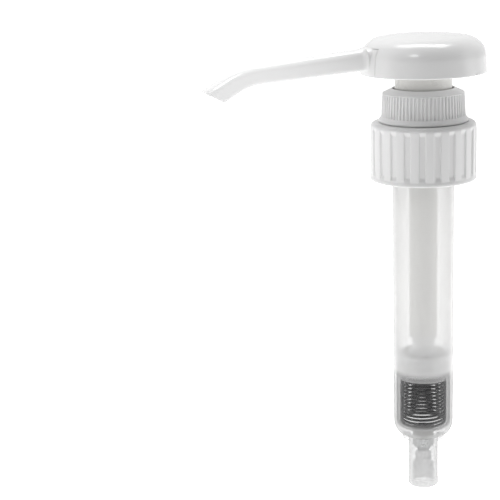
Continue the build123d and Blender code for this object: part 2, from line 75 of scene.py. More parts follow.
def make_camera():
    """Camera that looks down on the pump from the spout side, with the pump axis upright in the picture."""
    level = Vector((-cos(camera_angle), -sin(camera_angle), 0.0))
    right = Vector((level.y, -level.x, 0.0))
    along = level * cos(camera_pitch) - Vector((0, 0, sin(camera_pitch)))
    forward = (along * focal_pixels - right * object_offset_pixels).normalized()
    up = right.cross(forward).normalized()
    side = forward.cross(up)
    data = bpy.data.cameras.new("camera")
    data.sensor_width = sensor
    data.lens = focal_pixels * sensor / picture_pixels
    data.clip_start, data.clip_end = 0.01, 50.0
    camera = bpy.data.objects.new("camera", data)
    bpy.context.scene.collection.objects.link(camera)
    turn = Matrix((side, up, -forward)).transposed()
    camera.matrix_world = Matrix.Translation(
        -level * camera_distance + Vector((0, 0, camera_height))) @ turn.to_4x4()
    bpy.context.scene.camera = camera


def nodes_of(owner):
    """Emptied node tree of a material or world, with its nodes and links."""
    owner.use_nodes = True
    tree = owner.node_tree
    tree.nodes.clear()
    return tree, tree.nodes, tree.links


def make_stage():
    """Pale floor just under the pump's foot, glowing towards the back so that it meets the room unseen."""
    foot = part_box("housing")[0].z
    corners = [(-1, -1), (1, -1), (1, 1), (-1, 1)]
    mesh = bpy.data.meshes.new("floor")
    mesh.from_pydata([(x * floor_reach, y * floor_reach, foot) for x, y in corners], [], [(0, 1, 2, 3)])
    floor = bpy.data.objects.new("floor", mesh)
    bpy.context.scene.collection.objects.link(floor)
    material = bpy.data.materials.new("floor")
    tree, nodes, links = nodes_of(material)
    shader = nodes.new("ShaderNodeBsdfPrincipled")
    shader.inputs["Base Color"].default_value = (0.9, 0.9, 0.9, 1)
    shader.inputs["Roughness"].default_value = 0.9
    shader.inputs["Specular IOR Level"].default_value = 0.0
    shader.inputs["Emission Color"].default_value = (1, 1, 1, 1)
    place = nodes.new("ShaderNodeTexCoord")
    behind = nodes.new("ShaderNodeVectorMath")
    behind.operation = "DOT_PRODUCT"
    behind.inputs[1].default_value = (-cos(camera_angle), -sin(camera_angle), 0.0)
    glow = nodes.new("ShaderNodeMapRange")
    glow.interpolation_type = "SMOOTHSTEP"
    glow.inputs["From Min"].default_value = -floor_fade
    glow.inputs["From Max"].default_value = 0.0
    glow.inputs["To Min"].default_value = floor_glow_front
    glow.inputs["To Max"].default_value = floor_glow_behind
    links.new(place.outputs["Object"], behind.inputs[0])
    links.new(behind.outputs["Value"], glow.inputs["Value"])
    links.new(glow.outputs["Result"], shader.inputs["Emission Strength"])
    output = nodes.new("ShaderNodeOutputMaterial")
    links.new(shader.outputs[0], output.inputs[0])
    mesh.materials.append(material)


def softbox(name, angle, height, distance, width, tall, power, target=pump_middle):
    """Rectangular light at an angle round the pump, measured from the camera's side."""
    data = bpy.data.lights.new(name, "AREA")
    data.shape = "RECTANGLE"
    data.size, data.size_y = width, tall
    data.energy = power
    lamp = bpy.data.objects.new(name, data)
    bpy.context.scene.collection.objects.link(lamp)
    turn = camera_angle + radians(angle)
    lamp.location = (distance * cos(turn), distance * sin(turn), height)
    aim = target - lamp.location
    lamp.rotation_euler = aim.to_track_quat("-Z", "Y").to_euler()
    return lamp


def make_light():
    """Two upright softboxes beside the pump, one over it, a small fill for the spout, and a room that is
    brighter behind the pump."""
    softbox("strip_left", -75.0, height=0.10, distance=0.50, width=0.20, tall=0.50, power=0.34)
    softbox("strip_right", 90.0, height=0.05, distance=0.70, width=0.30, tall=0.70, power=0.75)
    softbox("top", 180.0, height=0.60, distance=0.10, width=0.50, tall=0.22, power=2.7)
    fill = softbox("spout_fill", -25.0, height=0.17, distance=0.19, width=0.08, tall=0.03, power=0.015,
                   target=spout_middle)
    fill.data.spread = radians(40.0)
    world = bpy.data.worlds.new("studio")
    bpy.context.scene.world = world
    tree, nodes, links = nodes_of(world)
    place = nodes.new("ShaderNodeTexCoord")
    toward = nodes.new("ShaderNodeVectorMath")
    toward.operation = "DOT_PRODUCT"
    toward.inputs[1].default_value = (-cos(camera_angle), -sin(camera_angle), 0.35)
    spread = nodes.new("ShaderNodeMapRange")
    spread.interpolation_type = "SMOOTHSTEP"
    spread.inputs["From Min"].default_value = -0.4
    spread.inputs["From Max"].default_value = 0.9
    spread.inputs["To Min"].default_value = room_glow_front
    spread.inputs["To Max"].default_value = room_glow_behind
    background = nodes.new("ShaderNodeBackground")
    output = nodes.new("ShaderNodeOutputWorld")
    links.new(place.outputs["Generated"], toward.inputs[0])
    links.new(toward.outputs["Value"], spread.inputs["Value"])
    links.new(spread.outputs["Result"], background.inputs["Strength"])
    links.new(background.outputs[0], output.inputs[0])
    bpy.context.scene.view_settings.view_transform = "Standard"


# ---- mesh helpers: outlines are (radius, height) points in millimetres ---------------------


def rounded(*corners):
    """Closed outline through (radius, height, rounding) corners."""
    outline = []
    for i, (r, z, rounding) in enumerate(corners):
        here = Vector((r, z))
        to_before = Vector(corners[i - 1][:2]) - here
        to_after = Vector(corners[(i + 1) % len(corners)][:2]) - here
        half = to_before.angle(to_after) / 2
        reach = min(rounding / tan(half), 0.48 * to_before.length, 0.48 * to_after.length)
        if reach < 0.01:
            outline.append(here)
            continue
        a, b = to_before.normalized(), to_after.normalized()
        radius = reach * tan(half)
        centre = here + (a + b).normalized() * (radius / sin(half))
        spoke = here + a * reach - centre
        turn = spoke.angle_signed(here + b * reach - centre)
        steps = max(2, ceil(abs(degrees(turn)) / 15.0))
        for k in range(steps + 1):
            outline.append(centre + turned(spoke, -turn * k / steps))
    return outline


def turned(vector, angle):
    """Plane vector turned counter-clockwise."""
    x, y = vector
    return Vector((x * cos(angle) - y * sin(angle), x * sin(angle) + y * cos(angle)))


def dense(outline, step):
    """The outline again, with points added so that no side is longer than step."""
    finer = []
    for i, here in enumerate(outline):
        after = outline[(i + 1) % len(outline)]
        n = max(1, ceil((after - here).length / step))
        finer += [here.lerp(after, k / n) for k in range(n)]
    return finer


def even(count):
    """Angles of count equal steps round a circle."""
    return [2 * pi * i / count for i in range(count)]


def around(count, phase, radius, offsets):
    """Angles of repeated features: offsets are arc lengths either side of each feature's middle."""
    pitch = 2 * pi / count
    both = sorted({-o for o in offsets} | set(offsets))
    return [phase + i * pitch + o / radius for i in range(count) for o in both]


def spun(outline, angles, shape=None, closed=True):
    """Vertices and faces of an outline spun through the angles. shape gives a point its own radius and
    height."""
    verts = []
    for angle in angles:
        for r, z in outline:
            if shape:
                r, z = shape(angle, r, z)
            verts.append((r * cos(angle) * mm, r * sin(angle) * mm, z * mm))
    count = len(outline)
    faces = []
    for s in range(len(angles) if closed else len(angles) - 1):
        a, b = s * count, (s + 1) % len(angles) * count
        for i in range(count):
            j = (i + 1) % count
            faces.append((a + i, b + i, b + j, a + j))
    if not closed:
        faces.append(tuple(range(count)))
        faces.append(tuple(range(len(verts) - 1, len(verts) - count - 1, -1)))
    return verts, faces


def lofted(rings):
    """Vertices and faces of a closed skin over rings of points in millimetres."""
    count = len(rings[0])
    verts = [tuple(p * mm) for ring in rings for p in ring]
    faces = []
    for s in range(len(rings) - 1):
        a, b = s * count, (s + 1) * count
        for i in range(count):
            j = (i + 1) % count
            faces.append((a + i, b + i, b + j, a + j))
    faces.append(tuple(range(count)))
    faces.append(tuple(range(len(verts) - 1, len(verts) - count - 1, -1)))
    return verts, faces


def new_piece(name, verts, faces):
    """Object with a clean mesh: doubled vertices merged, faces looking outwards."""
    mesh = bpy.data.meshes.new(name)
    mesh.from_pydata(verts, [], faces)
    work = bmesh.new()
    work.from_mesh(mesh)
    bmesh.ops.remove_doubles(work, verts=work.verts, dist=1e-7)
    bmesh.ops.recalc_face_normals(work, faces=work.faces)
    work.to_mesh(mesh)
    work.free()
    piece = bpy.data.objects.new(name, mesh)
    bpy.context.scene.collection.objects.link(piece)
    return piece


def smooth(piece, sharp_from=32.0):
    """Smooth shading, apart from edges that turn by more than sharp_from degrees."""
    mesh = piece.data
    mesh.polygons.foreach_set("use_smooth", [True] * len(mesh.polygons))
    work = bmesh.new()
    work.from_mesh(mesh)
    for edge in work.edges:
        edge.smooth = len(edge.link_faces) != 2 or edge.calc_face_angle(0) < radians(sharp_from)
    work.to_mesh(mesh)
    work.free()


def combine(piece, other, operation):
    """Boolean of the piece with another one, which is used up."""
    modifier = piece.modifiers.new("combine", "BOOLEAN")
    modifier.operation = operation
    modifier.solver = "EXACT"
    modifier.object = other
    bpy.context.view_layer.update()
    mesh = bpy.data.meshes.new_from_object(piece.evaluated_get(bpy.context.evaluated_depsgraph_get()))
    piece.modifiers.clear()
    piece.data = mesh
    bpy.data.objects.remove(other)


def hand_over(piece, body, node, slot):
    """Give a finished piece its body and its material, and hide the CAD node it stands for."""
    smooth(piece)
    piece.data.materials.clear()
    piece.data.materials.append(materials[slot])
    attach(piece, body)
    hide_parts(node)


def ramp(share):
    """Smooth step from 0 to 1."""
    share = max(0.0, min(1.0, share))
    return share * share * (3 - 2 * share)


def trapezoid(distance, floor_half, mouth_half):
    """1 within floor_half of the middle, 0 beyond mouth_half, with a smooth flank between."""
    return ramp((mouth_half - abs(distance)) / (mouth_half - floor_half))


def off_middle(angle, phase, pitch):
    """Signed angle from the middle of the nearest repeated feature."""
    return (angle - phase + pitch / 2) % pitch - pitch / 2


def thread_height(angle, z, start_angle, start_z, pitch, turns, root_half, crest_half):
    """Share of a thread's full depth at an angle and height. Both ends of the thread fade out."""
    share = 0.0
    first = ((angle - start_angle) / (2 * pi)) % 1.0
    for whole in range(ceil(turns)):
        turn = first + whole
        if turn < turns:
            fade = ramp(min(turn, turns - turn) / 0.05)
            share = max(share, fade * trapezoid(z - start_z - pitch * turn, crest_half, root_half))
    return share


def span(node):
    """Radius, lowest and highest z of a round CAD node, in millimetres."""
    low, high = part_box(node)
    return high.y / mm, low.z / mm, high.z / mm


make_camera()
make_stage()
make_light()

# ---- materials ----------------------------------------------------------------------------


def moulded(name, colour, roughness, spread=0.05, grain=0.00002, grain_scale=900.0, speckle=0.012):
    """Injection-moulded plastic: faint colour drift, gloss that varies by spread, and a surface texture
    that is grain metres deep."""
    material = bpy.data.materials.new(name)
    tree, nodes, links = nodes_of(material)
    shader = nodes.new("ShaderNodeBsdfPrincipled")
    output = nodes.new("ShaderNodeOutputMaterial")
    place = nodes.new("ShaderNodeTexCoord")
    drift = nodes.new("ShaderNodeTexNoise")
    drift.inputs["Scale"].default_value = 55.0
    drift.inputs["Detail"].default_value = 3.0
    tint = nodes.new("ShaderNodeMix")
    tint.data_type = "RGBA"
    tint.inputs["A"].default_value = (*[c * (1 - speckle) for c in colour], 1)
    tint.inputs["B"].default_value = (*[min(1, c * (1 + speckle)) for c in colour], 1)
    gloss = nodes.new("ShaderNodeTexNoise")
    gloss.inputs["Scale"].default_value = 240.0
    gloss.inputs["Detail"].default_value = 4.0
    uneven = nodes.new("ShaderNodeMapRange")
    uneven.inputs["From Min"].default_value = 0.3
    uneven.inputs["From Max"].default_value = 0.7
    uneven.inputs["To Min"].default_value = roughness - spread
    uneven.inputs["To Max"].default_value = roughness + spread
    peel = nodes.new("ShaderNodeTexNoise")
    peel.inputs["Scale"].default_value = grain_scale
    peel.inputs["Detail"].default_value = 2.0
    bump = nodes.new("ShaderNodeBump")
    bump.inputs["Strength"].default_value = 1.0
    bump.inputs["Distance"].default_value = grain
    for noise in (drift, gloss, peel):
        links.new(place.outputs["Object"], noise.inputs["Vector"])
    links.new(drift.outputs["Fac"], tint.inputs["Factor"])
    links.new(tint.outputs["Result"], shader.inputs["Base Color"])
    links.new(gloss.outputs["Fac"], uneven.inputs["Value"])
    links.new(uneven.outputs["Result"], shader.inputs["Roughness"])
    links.new(peel.outputs["Fac"], bump.inputs["Height"])
    links.new(bump.outputs["Normal"], shader.inputs["Normal"])
    shader.inputs["IOR"].default_value = 1.49
    links.new(shader.outputs[0], output.inputs[0])
    return material


def node_of(material, kind):
    return next(n for n in material.node_tree.nodes if n.type == kind)


def height_curve(tree, height, points):
    """Value that follows (share, value) points from frost_low_z to frost_high_z."""
    share = tree.nodes.new("ShaderNodeMapRange")
    share.inputs["From Min"].default_value = frost_low_z * mm
    share.inputs["From Max"].default_value = frost_high_z * mm
    curve = tree.nodes.new("ShaderNodeValToRGB")
    curve.color_ramp.interpolation = "EASE"
    stops = curve.color_ramp.elements
    while len(stops) < len(points):
        stops.new(0.5)
    for stop, (position, value) in zip(stops, points):
        stop.position = position
        stop.color = (value, value, value, 1)
    tree.links.new(height, share.inputs["Value"])
    tree.links.new(share.outputs["Result"], curve.inputs["Fac"])
    return curve.outputs["Color"]


def frosted(name, colour, haze, clearness, edge, tint):
    """Frosted plastic: glossy skin over a milky body that glows with the light behind it. It is clearer where
    it is seen square on, and its clearness, the milkiness of its edges and its tint follow the height. The
    tint is darker from the socket up to the piston than in the plain cylinder above. Most of that darkening
    is painted shade, and a little of it is for the thicker socket wall."""
    material = moulded(name, colour, 0.3, spread=0.08, grain=0.000002, grain_scale=90.0)
    tree = material.node_tree
    nodes, links = tree.nodes, tree.links
    shader = node_of(material, "BSDF_PRINCIPLED")
    split = nodes.new("ShaderNodeSeparateXYZ")
    links.new(node_of(material, "TEX_COORD").outputs["Object"], split.inputs[0])
    height = split.outputs["Z"]
    wall_tint_and_painted_shade = height_curve(tree, height, tint)
    milky = nodes.new("ShaderNodeBsdfTranslucent")
    clear = nodes.new("ShaderNodeBsdfTransparent")
    body = nodes.new("ShaderNodeMixShader")
    body.inputs[0].default_value = haze
    facing = nodes.new("ShaderNodeLayerWeight")
    links.new(height_curve(tree, height, edge), facing.inputs["Blend"])
    share = nodes.new("ShaderNodeMapRange")
    share.inputs["To Max"].default_value = 0.0
    links.new(height_curve(tree, height, clearness), share.inputs["To Min"])
    join = nodes.new("ShaderNodeMixShader")
    links.new(wall_tint_and_painted_shade, milky.inputs["Color"])
    links.new(wall_tint_and_painted_shade, clear.inputs["Color"])
    links.new(facing.outputs["Facing"], share.inputs["Value"])
    links.new(share.outputs["Result"], join.inputs[0])
    links.new(shader.outputs[0], body.inputs[1])
    links.new(milky.outputs[0], body.inputs[2])
    links.new(body.outputs[0], join.inputs[1])
    links.new(clear.outputs[0], join.inputs[2])
    links.new(join.outputs[0], node_of(material, "OUTPUT_MATERIAL").inputs[0])
    return material


def glass(name, colour, roughness):
    """Clear glass with faint smears."""
    material = moulded(name, colour, roughness, spread=0.02, grain=0.0, grain_scale=900.0)
    shader = node_of(material, "BSDF_PRINCIPLED")
    shader.inputs["Transmission Weight"].default_value = 1.0
    shader.inputs["IOR"].default_value = 1.52
    return material


def metal(name, colour, roughness, streaks):
    """Drawn or polished stainless steel, with fine streaks."""
    material = moulded(name, colour, roughness, spread=0.06, grain=0.000001, grain_scale=streaks)
    shader = node_of(material, "BSDF_PRINCIPLED")
    shader.inputs["Metallic"].default_value = 1.0
    return material


frost_low_z, frost_high_z = -140.0, -80.0   # socket, then shoulder, spring, piston and plain cylinder
materials = {
    "gloss_white": moulded(
        "gloss_white", (0.745, 0.745, 0.745), 0.2, spread=0.04, grain=0.00001, grain_scale=600.0),
    "satin_white": moulded("satin_white", (0.735, 0.735, 0.735), 0.34),
    "natural_pp": moulded("natural_pp", (0.66, 0.653, 0.63), 0.3),
    "soft_white": moulded("soft_white", (0.62, 0.62, 0.61), 0.42),
    "foam_white": moulded("foam_white", (0.84, 0.84, 0.82), 0.8, grain=0.0001, grain_scale=1500.0),
    "frosted_pp": frosted(
        "frosted_pp", (0.8, 0.8, 0.8), haze=0.8,
        clearness=((0.18, 0.7), (0.26, 0.62), (0.33, 0.95), (0.63, 0.95), (0.69, 0.66)),
        edge=((0.0, 0.3), (0.30, 0.22), (0.63, 0.22), (0.71, 0.35)),
        # tint: darker below the plain cylinder as painted shade, a little of it for the thicker socket wall
        tint=((0.0, 0.82), (0.24, 0.84), (0.34, 0.83), (0.63, 0.83), (0.69, 0.985))),
    # the spring's near-black colour is painted shade, standing in for the dim inside of the cylinder and the
    # dark reflections in its wire
    "spring_steel": metal("spring_steel", (0.09, 0.09, 0.093), 0.4, 300.0),
    "steel_ball": metal("steel_ball", (0.62, 0.62, 0.63), 0.12, 900.0),
    "glass_ball": glass("glass_ball", (0.95, 0.97, 0.97), 0.04),
}
kept_nodes = {
    "gasket": "foam_white",
    "stem_guide": "satin_white",
    "stem_wiper": "soft_white",
    "outlet_seat": "natural_pp",
    "outlet_ball": "steel_ball",
    "inlet_ball": "glass_ball",
    "ball_cage": "natural_pp",
    "stem": "natural_pp",
    "piston_carrier": "satin_white",
    "piston": "gloss_white",
}
for node, slot in kept_nodes.items():
    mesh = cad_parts[node].data
    mesh.materials.clear()
    mesh.materials.append(materials[slot])

# ---- closure: 38-400 screw cap with broad grip grooves ------------------------------------

closure_rim_radius, closure_rim_z, closure_top_z = span("closure")
closure_radius = closure_rim_radius - 0.2
closure_hole = 14.4
plate = 2.1                          # thickness of the top
thread_root, thread_depth = 19.1, 1.2
thread_pitch, thread_turns = 4.23, 1.6
thread_start_z = closure_rim_z + 5.2
thread_root_half, thread_crest_half = 1.25, 0.4
groove_count = 22
groove_phase = radians(-110.8)
groove_depth = 0.7
groove_floor_half, groove_mouth_half = 0.95, 1.6
groove_low_z, groove_high_z = closure_rim_z + 1.6, closure_top_z - 1.1
groove_run = 2.4                     # length over which a groove's ends fade out
same = 0.05                          # radii closer than this are the same surface


def closure_shape(angle, r, z):
    """Grip grooves in the outer wall and a screw thread in the inner one."""
    if r > closure_radius - 1.5:
        pitch = 2 * pi / groove_count
        away = off_middle(angle, groove_phase, pitch) * closure_radius
        run = ramp((z - groove_low_z) / groove_run) * ramp((groove_high_z - z) / groove_run)
        floor = closure_radius - groove_depth * trapezoid(away, groove_floor_half, groove_mouth_half)
        r = min(r, r + (floor - r) * run)
    elif abs(r - thread_root) < same and z < closure_top_z - plate - 1.0:
        r -= thread_depth * thread_height(angle, z, 0.0, thread_start_z, thread_pitch, thread_turns,
                                          thread_root_half, thread_crest_half)
    return r, z


def make_closure():
    outline = rounded(
        (closure_hole, closure_top_z, 0.25),
        (closure_radius, closure_top_z, 1.9),
        (closure_radius, closure_rim_z + 1.7, 0.6),
        (closure_rim_radius, closure_rim_z + 1.1, 0.6),
        (closure_rim_radius, closure_rim_z, 0.45),
        (thread_root + 0.5, closure_rim_z, 0.2),
        (thread_root, closure_rim_z + 0.8, 0.2),
        (thread_root, closure_top_z - plate, 0.6),
        (closure_hole, closure_top_z - plate, 0.15),
    )
    offsets = (0.0, 0.5, 0.85, 1.0, 1.1, 1.2, 1.3, 1.4, 1.5, 1.6, 1.75, 2.2, 2.7)
    angles = around(groove_count, groove_phase, closure_radius, offsets)
    hand_over(new_piece("closure_cap", *spun(dense(outline, 0.45), angles, closure_shape)),
              "closure", "closure", "satin_white")


make_closure()

# ---- collar: finely ribbed snap ring with the female lock thread ---------------------------

collar_radius, collar_low_z, collar_top_z = span("collar")
rib_count = 68
rib_phase = radians(-110.0 + 180.0 / rib_count)
rib_depth = 0.8
rib_low_z, rib_high_z = collar_low_z + 2.2, collar_top_z - 2.1
rib_radius_low, rib_radius_high = collar_radius - 1.0, collar_radius - 1.5
rib_land_half, rib_foot_half = 0.28, 0.46
rib_run_low, rib_run_high = 0.35, 0.3
mouth_radius, collar_bore = 12.3, 12.7
lock_pitch, lock_turns = 4.5, 1.05
lock_crest_half = 0.4
collar_thread_low_z, collar_thread_start_z = collar_low_z + 5.6, collar_low_z + 6.7
collar_thread_depth, collar_thread_root_half = 0.43, 0.95


def collar_shape(angle, r, z):
    """Fine ribs outside and the lock thread inside."""
    if r > rib_radius_high - 0.5 and rib_low_z < z < rib_high_z:
        pitch = 2 * pi / rib_count
        away = off_middle(angle, rib_phase, pitch) * rib_radius_low
        between = 1 - trapezoid(away, rib_land_half, rib_foot_half)
        r -= rib_depth * between * ramp((z - rib_low_z) / rib_run_low) * ramp((rib_high_z - z) / rib_run_high)
    elif abs(r - collar_bore) < same and z > collar_thread_low_z:
        r -= collar_thread_depth * thread_height(angle, z, pi / 2, collar_thread_start_z, lock_pitch,
                                                 lock_turns, collar_thread_root_half, lock_crest_half)
    return r, z


def make_collar():
    socket, stem_hole = 14.0, 6.4
    floor_low_z, floor_high_z = collar_low_z + 4.0, collar_low_z + 5.5
    outline = rounded(
        (socket, collar_low_z, 0.15),
        (collar_radius, collar_low_z, 0.25),
        (collar_radius, collar_low_z + 0.9, 0.35),
        (rib_radius_low, rib_low_z, 0.9),
        (rib_radius_high, rib_high_z + 0.1, 0.25),
        (mouth_radius + 0.15, collar_top_z, 0.35),
        (mouth_radius, collar_top_z - 0.9, 0.1),
        (collar_bore, collar_top_z - 1.3, 0.1),
        (collar_bore, floor_high_z, 0.4),
        (stem_hole, floor_high_z, 0.3),
        (stem_hole, floor_low_z, 0.1),
        (socket, floor_low_z, 0.3),
        (socket, collar_low_z + 2.5, 0.05),
        (socket + 0.25, collar_low_z + 2.2, 0.05),
        (socket + 0.25, collar_low_z + 1.7, 0.05),
        (socket, collar_low_z + 1.3, 0.05),
    )
    offsets = (0.0, 0.2, 0.29, 0.36, 0.42, 0.48, 0.56, 0.7)
    angles = around(rib_count, rib_phase, rib_radius_low, offsets)
    hand_over(new_piece("collar_ring", *spun(dense(outline, 0.5), angles, collar_shape)),
              "pump_body", "collar", "satin_white")


make_collar()

# ---- lock sleeve: neck under the head, with the male lock thread ---------------------------

sleeve_low_z, sleeve_top_z = span("lock_sleeve")[1:]
sleeve_lip, sleeve_radius = 12.1, 11.6
sleeve_thread_start_z = sleeve_low_z + 1.3
sleeve_thread_depth, sleeve_thread_root_half = 0.5, 0.9


def sleeve_shape(angle, r, z):
    """The lock thread on the sleeve's outside."""
    if abs(r - sleeve_radius) < same:
        r += sleeve_thread_depth * thread_height(angle, z, -pi / 2, sleeve_thread_start_z, lock_pitch,
                                                 lock_turns, sleeve_thread_root_half, lock_crest_half)
    return r, z


def make_sleeve():
    stem_fit, grip, inner = 5.85, 7.6, 10.2
    grip_low_z, plate_z = sleeve_low_z + 7.5, sleeve_top_z - 1.6
    outline = rounded(
        (stem_fit, grip_low_z, 0.1),
        (stem_fit, sleeve_top_z, 0.1),
        (sleeve_lip, sleeve_top_z, 0.3),
        (sleeve_lip, sleeve_top_z - 1.3, 0.25),
        (sleeve_radius, sleeve_top_z - 1.8, 0.35),
        (sleeve_radius, sleeve_low_z, 0.4),
        (inner, sleeve_low_z, 0.3),
        (inner, plate_z, 0.4),
        (grip, plate_z, 0.4),
        (grip, grip_low_z, 0.3),
    )
    hand_over(new_piece("lock_neck", *spun(dense(outline, 0.4), even(240), sleeve_shape)),
              "plunger", "lock_sleeve", "natural_pp")


make_sleeve()

# ---- head cap: dome with a slot for the spout ----------------------------------------------

dome_radius, dome_rim_z, dome_apex_z = span("head_cap")
crown_radius, shoulder, dome_wall = 120.0, 8.6, 1.9
wall_top_radius = dome_radius - 0.85
slot_half_angle = radians(22.6)
slot_top_z = dome_rim_z + 10.9
slot_gap_above = 0.2
rim_round = 0.35
wall_steps, shoulder_steps, crown_steps = 8, 22, 16
notch_half_angle, notch_angle, notch_height = radians(1.7), radians(-56.0), 0.8
post_angles, post_distance, post_radius = (-65.0, 0.0, 65.0), 14.5, 1.9
post_low_z, post_high_z = 28.0, 39.6


def dome_curve(inset):
    """Points up the dome's side, round its shoulder and over the crown to the axis, drawn in by inset."""
    crown, corner = crown_radius - inset, shoulder - inset
    middle = Vector((0, dome_apex_z - crown_radius))
    foot = Vector((dome_radius - inset, dome_rim_z))
    top_r = wall_top_radius - inset
    head = Vector((top_r, middle.y + sqrt(crown * crown - top_r * top_r)))
    up = (head - foot).normalized()
    inward = Vector((-up.y, up.x))
    start = foot + inward * corner - middle
    along = -start.dot(up) + sqrt(start.dot(up) ** 2 - start.length_squared + (crown - corner) ** 2)
    centre = foot + inward * corner + up * along
    first = atan2(-inward.y, -inward.x)
    last = atan2((centre - middle).y, (centre - middle).x)
    wall_end = centre - inward * corner
    points = [foot.lerp(wall_end, k / wall_steps) for k in range(wall_steps)]
    for k in range(shoulder_steps):
        a = first + (last - first) * k / shoulder_steps
        points.append(centre + Vector((cos(a), sin(a))) * corner)
    for k in range(crown_steps + 1):
        a = last + (pi / 2 - last) * k / crown_steps
        points.append(middle + Vector((cos(a), sin(a))) * crown)
    return points


def dome_outline():
    """Closed outline of the dome's wall, with a rounded rim."""
    outer, inner = dome_curve(0.0), dome_curve(dome_wall)
    middle = Vector((dome_radius - rim_round, dome_rim_z + rim_round))
    rim = [middle + Vector((sin(a), -cos(a))) * rim_round for a in (pi / 8 * k for k in range(5))]
    return rim + outer[1:] + inner[::-1]


def block(name, half_angle, inner, outer, low_z, high_z, centre_angle=pi):
    """Wedge about the pump axis, used to cut or to join."""
    outline = [Vector(p) for p in ((inner, low_z), (outer, low_z), (outer, high_z), (inner, high_z))]
    angles = [centre_angle - half_angle + 2 * half_angle * k / 24 for k in range(25)]
    return new_piece(name, *spun(outline, angles, closed=False))


def make_head():
    """Dome with a slot for the spout's panel, a pry notch in the rim and three posts inside."""
    below = dome_rim_z - 1
    cap = new_piece("head_dome", *spun(dome_outline(), even(288)))
    slot = block("slot", slot_half_angle, 20.0, 28.0, below, slot_top_z + slot_gap_above)
    combine(cap, slot, "DIFFERENCE")
    notch = block("notch", notch_half_angle, 24.6, 27.0, below, dome_rim_z + notch_height, notch_angle)
    combine(cap, notch, "DIFFERENCE")
    post_outline = rounded(
        (0, post_low_z, 0), (post_radius, post_low_z, 0.3),
        (post_radius, post_high_z, 0), (0, post_high_z, 0))
    for angle in post_angles:
        place = Matrix.Rotation(radians(angle), 4, "Z") @ Matrix.Translation((post_distance * mm, 0, 0))
        post = new_piece("post", *spun(post_outline, even(32)))
        post.data.transform(place)
        combine(cap, post, "UNION")
    hand_over(cap, "plunger", "head_cap", "gloss_white")


make_head()

# ---- spout body: disc, hub, panel and spout -------------------------------------------------

spout_slope = radians(4.6)
hub_z = dome_rim_z + 8.542           # height at which the spout's centre line meets the pump axis
level_end = 68.8 / cos(spout_slope)
bend_radius, bend_turn = 26.0, radians(27.0)
bend_end = level_end + bend_radius * bend_turn
root_distance = 28.5
root_width, root_height = 8.7, 8.4
level_width, level_height = 7.9, 7.5
mouth_width, mouth_height = 7.8, 8.4
mouth_angle = radians(61.5)
mouth_point = Vector((-86.95, 0, dome_rim_z - 4.75))
mouth_normal = Vector((-cos(mouth_angle), 0, -sin(mouth_angle)))
mouth_round = 0.3
spout_bore = 2.7
panel_side_gap, panel_inset, panel_round = 0.45, 0.05, 0.25
flare_radius, flare_face = 2.2, 25.0
past_mouth = 3.0                     # how far beyond the bend the sections are slid onto the mouth from
across = Vector((0, 1, 0))


def route(distance):
    """Point and direction of the spout's centre line at a distance from the pump axis."""
    straight = min(distance, level_end)
    turn = max(0.0, min(distance - level_end, bend_end - level_end)) / bend_radius
    past = max(0.0, distance - bend_end)
    point = Vector((0, 0, hub_z)) + Vector((-cos(spout_slope), 0, -sin(spout_slope))) * straight
    down = Vector((sin(spout_slope), 0, -cos(spout_slope)))
    point += down * bend_radius
    arm = Matrix.Rotation(-turn, 3, "Y") @ -down * bend_radius
    point += arm
    heading = spout_slope + turn
    direction = Vector((-cos(heading), 0, -sin(heading)))
    return point + direction * past, direction


def mix(a, b, share):
    """Value between a and b, held at either end."""
    return a + (b - a) * max(0.0, min(1.0, share))


def spout_size(distance):
    """Width and height of the spout at a distance from the pump axis, without the flare at the panel."""
    if distance < level_end:
        share = (distance - root_distance) / (level_end - root_distance)
        return mix(root_width, level_width, share), mix(root_height, level_height, share)
    share = (distance - level_end) / (bend_end - level_end)
    return mix(level_width, mouth_width, share), mix(level_height, mouth_height, ramp(share))


def flare(distance):
    """How far the spout's skin has spread on the fillet where it meets the panel."""
    gap = max(0.0, min(flare_radius, flare_face + flare_radius - distance))
    return flare_radius - sqrt(flare_radius * flare_radius - gap * gap)


def spout_ring(distance, upper=0.40, lower=0.18):
    """Section of the spout: round on top, flat at the sides, with small lower corners."""
    centre, direction = route(distance)
    width, height = spout_size(distance)
    spread = flare(distance)
    up = across.cross(direction) * -1
    if up.z < 0:
        up = -up
    half = width / 2 + spread
    top, bottom = height / 2 + 0.1 * spread, height / 2 + 0.45 * spread
    upper_r, lower_r = upper * height, lower * height + 0.3 * spread
    ring = []
    for cx, cy, radius, start in ((half - upper_r, top - upper_r, upper_r, 0.0),
                                  (-half + upper_r, top - upper_r, upper_r, 90.0),
                                  (-half + lower_r, -bottom + lower_r, lower_r, 180.0),
                                  (half - lower_r, -bottom + lower_r, lower_r, 270.0)):
        for k in range(13):
            a = radians(start + 90.0 * k / 12)
            ring.append(centre + across * (cx + radius * cos(a)) + up * (cy + radius * sin(a)))
    return ring


def shrunk(ring, amount):
    """The ring with its points moved towards its middle."""
    middle = sum(ring, Vector()) / len(ring)
    return [p + (middle - p).normalized() * amount for p in ring]


def to_mouth(ring, direction, short=0.0):
    """The ring slid along the spout onto the oblique plane of the mouth, or short of it."""
    plane = mouth_point - direction * short
    return [p + direction * ((plane - p).dot(mouth_normal) / direction.dot(mouth_normal)) for p in ring]


def spout_skin():
    """Outside of the spout, from inside the hub to its rounded, oblique mouth."""
    distances = [2.0, 12.0, 20.0, 24.0] + [flare_face + 0.2 * k for k in range(12)]
    distances += [root_distance + (level_end - root_distance) * k / 24 for k in range(24)]
    distances += [level_end + (bend_end - level_end) * k / 20 for k in range(21)]
    rings = [spout_ring(d) for d in distances]
    direction = route(bend_end + 1)[1]
    last = spout_ring(bend_end + past_mouth)
    rings.append(last)
    for k in range(5):
        a = pi / 2 * k / 4
        edge = shrunk(last, mouth_round * (1 - cos(a)))
        rings.append(to_mouth(edge, direction, mouth_round * (1 - sin(a))))
    return new_piece("spout", *lofted(rings))


